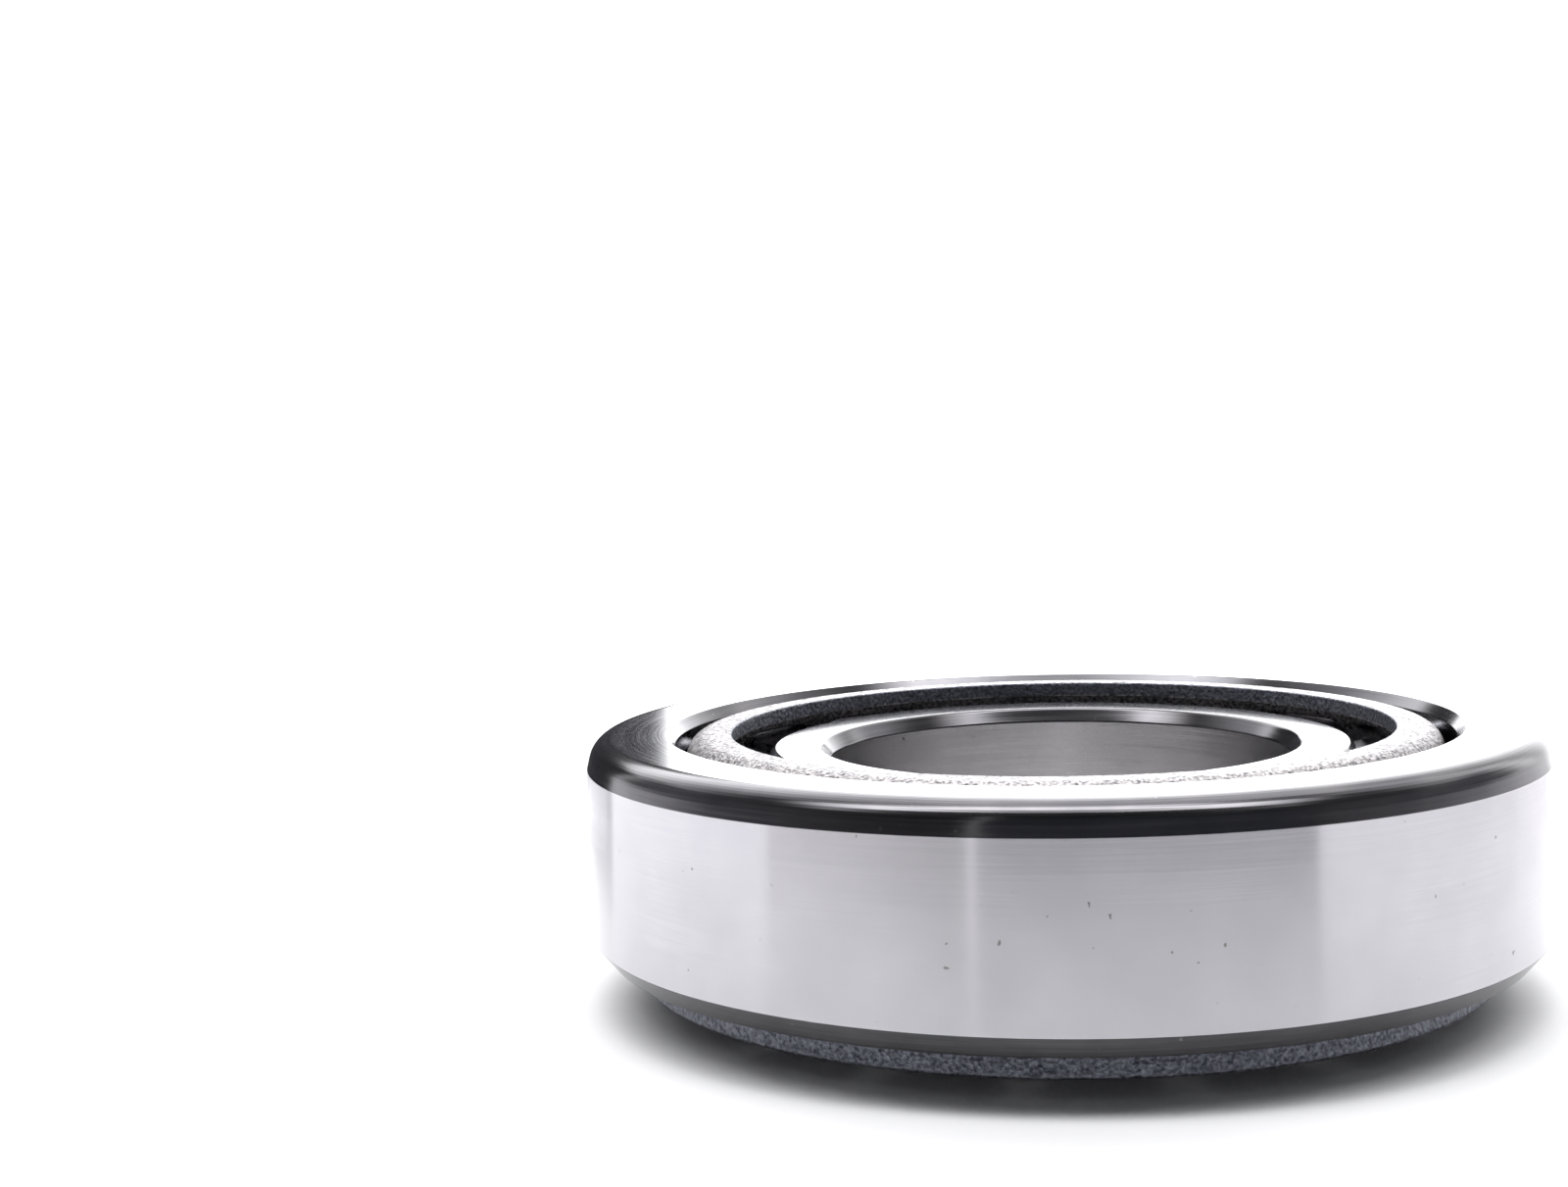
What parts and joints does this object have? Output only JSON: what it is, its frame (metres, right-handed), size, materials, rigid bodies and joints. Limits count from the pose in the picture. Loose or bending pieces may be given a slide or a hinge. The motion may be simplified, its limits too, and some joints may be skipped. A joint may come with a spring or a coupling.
{
  "type": "tapered roller bearing",
  "caption": "Single row tapered roller bearing: outer ring, flanged inner ring, pressed steel cage and tapered rollers that roll as the rings turn; carries radial and one-way axial load.",
  "frame": {"origin": "on the bearing's axis, in the plane of the inner ring's back face, on which the bearing lies", "axes": "+Z along the bearing's axis, from the inner ring's back face towards the outer ring's back face; +X through the middle of roller_01"},
  "size_m": [0.062, 0.062, 0.0172],
  "materials": {
    "ring_steel": "fine ground hardened bearing steel with darker turned corners",
    "roller_steel": "finely ground and polished hardened bearing steel",
    "cage_steel": "tumbled, slightly grainy pressed sheet steel"
  },
  "bodies": {
    "inner_ring": {"inner_ring": "ring_steel"},
    "outer_ring": {"outer_ring": "ring_steel"},
    "cage": {"cage": "cage_steel"},
    "roller_01": {"roller_01": "roller_steel"},
    "roller_02": {"roller_02": "roller_steel"},
    "roller_03": {"roller_03": "roller_steel"},
    "roller_04": {"roller_04": "roller_steel"},
    "roller_05": {"roller_05": "roller_steel"},
    "roller_06": {"roller_06": "roller_steel"},
    "roller_07": {"roller_07": "roller_steel"},
    "roller_08": {"roller_08": "roller_steel"},
    "roller_09": {"roller_09": "roller_steel"},
    "roller_10": {"roller_10": "roller_steel"},
    "roller_11": {"roller_11": "roller_steel"},
    "roller_12": {"roller_12": "roller_steel"},
    "roller_13": {"roller_13": "roller_steel"},
    "roller_14": {"roller_14": "roller_steel"},
    "roller_15": {"roller_15": "roller_steel"},
    "roller_16": {"roller_16": "roller_steel"},
    "roller_17": {"roller_17": "roller_steel"}
  },
  "joints": [
    {"name": "outer_ring_spin", "type": "hinge", "parent": "inner_ring", "child": "outer_ring", "pos_m": [0, 0, 0], "axis": [0, 0, 1], "continuous": true},
    {"name": "cage_spin", "type": "hinge", "parent": "inner_ring", "child": "cage", "pos_m": [0, 0, 0], "axis": [0, 0, 1], "continuous": true},
    {"name": "roller_01_spin", "type": "hinge", "parent": "cage", "child": "roller_01", "pos_m": [0.02326, 0, 0.00907], "axis": [-0.2102, 0, 0.9777], "continuous": true},
    {"name": "roller_02_spin", "type": "hinge", "parent": "cage", "child": "roller_02", "pos_m": [0.02169, 0.0084, 0.00907], "axis": [-0.196, -0.0759, 0.9777], "continuous": true},
    {"name": "roller_03_spin", "type": "hinge", "parent": "cage", "child": "roller_03", "pos_m": [0.01719, 0.01567, 0.00907], "axis": [-0.1554, -0.1416, 0.9777], "continuous": true},
    {"name": "roller_04_spin", "type": "hinge", "parent": "cage", "child": "roller_04", "pos_m": [0.01037, 0.02082, 0.00907], "axis": [-0.0937, -0.1882, 0.9777], "continuous": true},
    {"name": "roller_05_spin", "type": "hinge", "parent": "cage", "child": "roller_05", "pos_m": [0.00215, 0.02316, 0.00907], "axis": [-0.0194, -0.2093, 0.9777], "continuous": true},
    {"name": "roller_06_spin", "type": "hinge", "parent": "cage", "child": "roller_06", "pos_m": [-0.00636, 0.02237, 0.00907], "axis": [0.0575, -0.2022, 0.9777], "continuous": true},
    {"name": "roller_07_spin", "type": "hinge", "parent": "cage", "child": "roller_07", "pos_m": [-0.01402, 0.01856, 0.00907], "axis": [0.1267, -0.1678, 0.9777], "continuous": true},
    {"name": "roller_08_spin", "type": "hinge", "parent": "cage", "child": "roller_08", "pos_m": [-0.01977, 0.01224, 0.00907], "axis": [0.1787, -0.1107, 0.9777], "continuous": true},
    {"name": "roller_09_spin", "type": "hinge", "parent": "cage", "child": "roller_09", "pos_m": [-0.02286, 0.00427, 0.00907], "axis": [0.2067, -0.0386, 0.9777], "continuous": true},
    {"name": "roller_10_spin", "type": "hinge", "parent": "cage", "child": "roller_10", "pos_m": [-0.02286, -0.00427, 0.00907], "axis": [0.2067, 0.0386, 0.9777], "continuous": true},
    {"name": "roller_11_spin", "type": "hinge", "parent": "cage", "child": "roller_11", "pos_m": [-0.01977, -0.01224, 0.00907], "axis": [0.1787, 0.1107, 0.9777], "continuous": true},
    {"name": "roller_12_spin", "type": "hinge", "parent": "cage", "child": "roller_12", "pos_m": [-0.01402, -0.01856, 0.00907], "axis": [0.1267, 0.1678, 0.9777], "continuous": true},
    {"name": "roller_13_spin", "type": "hinge", "parent": "cage", "child": "roller_13", "pos_m": [-0.00636, -0.02237, 0.00907], "axis": [0.0575, 0.2022, 0.9777], "continuous": true},
    {"name": "roller_14_spin", "type": "hinge", "parent": "cage", "child": "roller_14", "pos_m": [0.00215, -0.02316, 0.00907], "axis": [-0.0194, 0.2093, 0.9777], "continuous": true},
    {"name": "roller_15_spin", "type": "hinge", "parent": "cage", "child": "roller_15", "pos_m": [0.01037, -0.02082, 0.00907], "axis": [-0.0937, 0.1882, 0.9777], "continuous": true},
    {"name": "roller_16_spin", "type": "hinge", "parent": "cage", "child": "roller_16", "pos_m": [0.01719, -0.01567, 0.00907], "axis": [-0.1554, 0.1416, 0.9777], "continuous": true},
    {"name": "roller_17_spin", "type": "hinge", "parent": "cage", "child": "roller_17", "pos_m": [0.02169, -0.0084, 0.00907], "axis": [-0.196, 0.0759, 0.9777], "continuous": true}
  ],
  "couplings": [
    {"joint": "cage_spin", "follows": "outer_ring_spin", "ratio": 0.57713},
    {"joint": "roller_01_spin", "follows": "outer_ring_spin", "ratio": 3.0934},
    {"joint": "roller_02_spin", "follows": "outer_ring_spin", "ratio": 3.0934},
    {"joint": "roller_03_spin", "follows": "outer_ring_spin", "ratio": 3.0934},
    {"joint": "roller_04_spin", "follows": "outer_ring_spin", "ratio": 3.0934},
    {"joint": "roller_05_spin", "follows": "outer_ring_spin", "ratio": 3.0934},
    {"joint": "roller_06_spin", "follows": "outer_ring_spin", "ratio": 3.0934},
    {"joint": "roller_07_spin", "follows": "outer_ring_spin", "ratio": 3.0934},
    {"joint": "roller_08_spin", "follows": "outer_ring_spin", "ratio": 3.0934},
    {"joint": "roller_09_spin", "follows": "outer_ring_spin", "ratio": 3.0934},
    {"joint": "roller_10_spin", "follows": "outer_ring_spin", "ratio": 3.0934},
    {"joint": "roller_11_spin", "follows": "outer_ring_spin", "ratio": 3.0934},
    {"joint": "roller_12_spin", "follows": "outer_ring_spin", "ratio": 3.0934},
    {"joint": "roller_13_spin", "follows": "outer_ring_spin", "ratio": 3.0934},
    {"joint": "roller_14_spin", "follows": "outer_ring_spin", "ratio": 3.0934},
    {"joint": "roller_15_spin", "follows": "outer_ring_spin", "ratio": 3.0934},
    {"joint": "roller_16_spin", "follows": "outer_ring_spin", "ratio": 3.0934},
    {"joint": "roller_17_spin", "follows": "outer_ring_spin", "ratio": 3.0934}
  ]
}
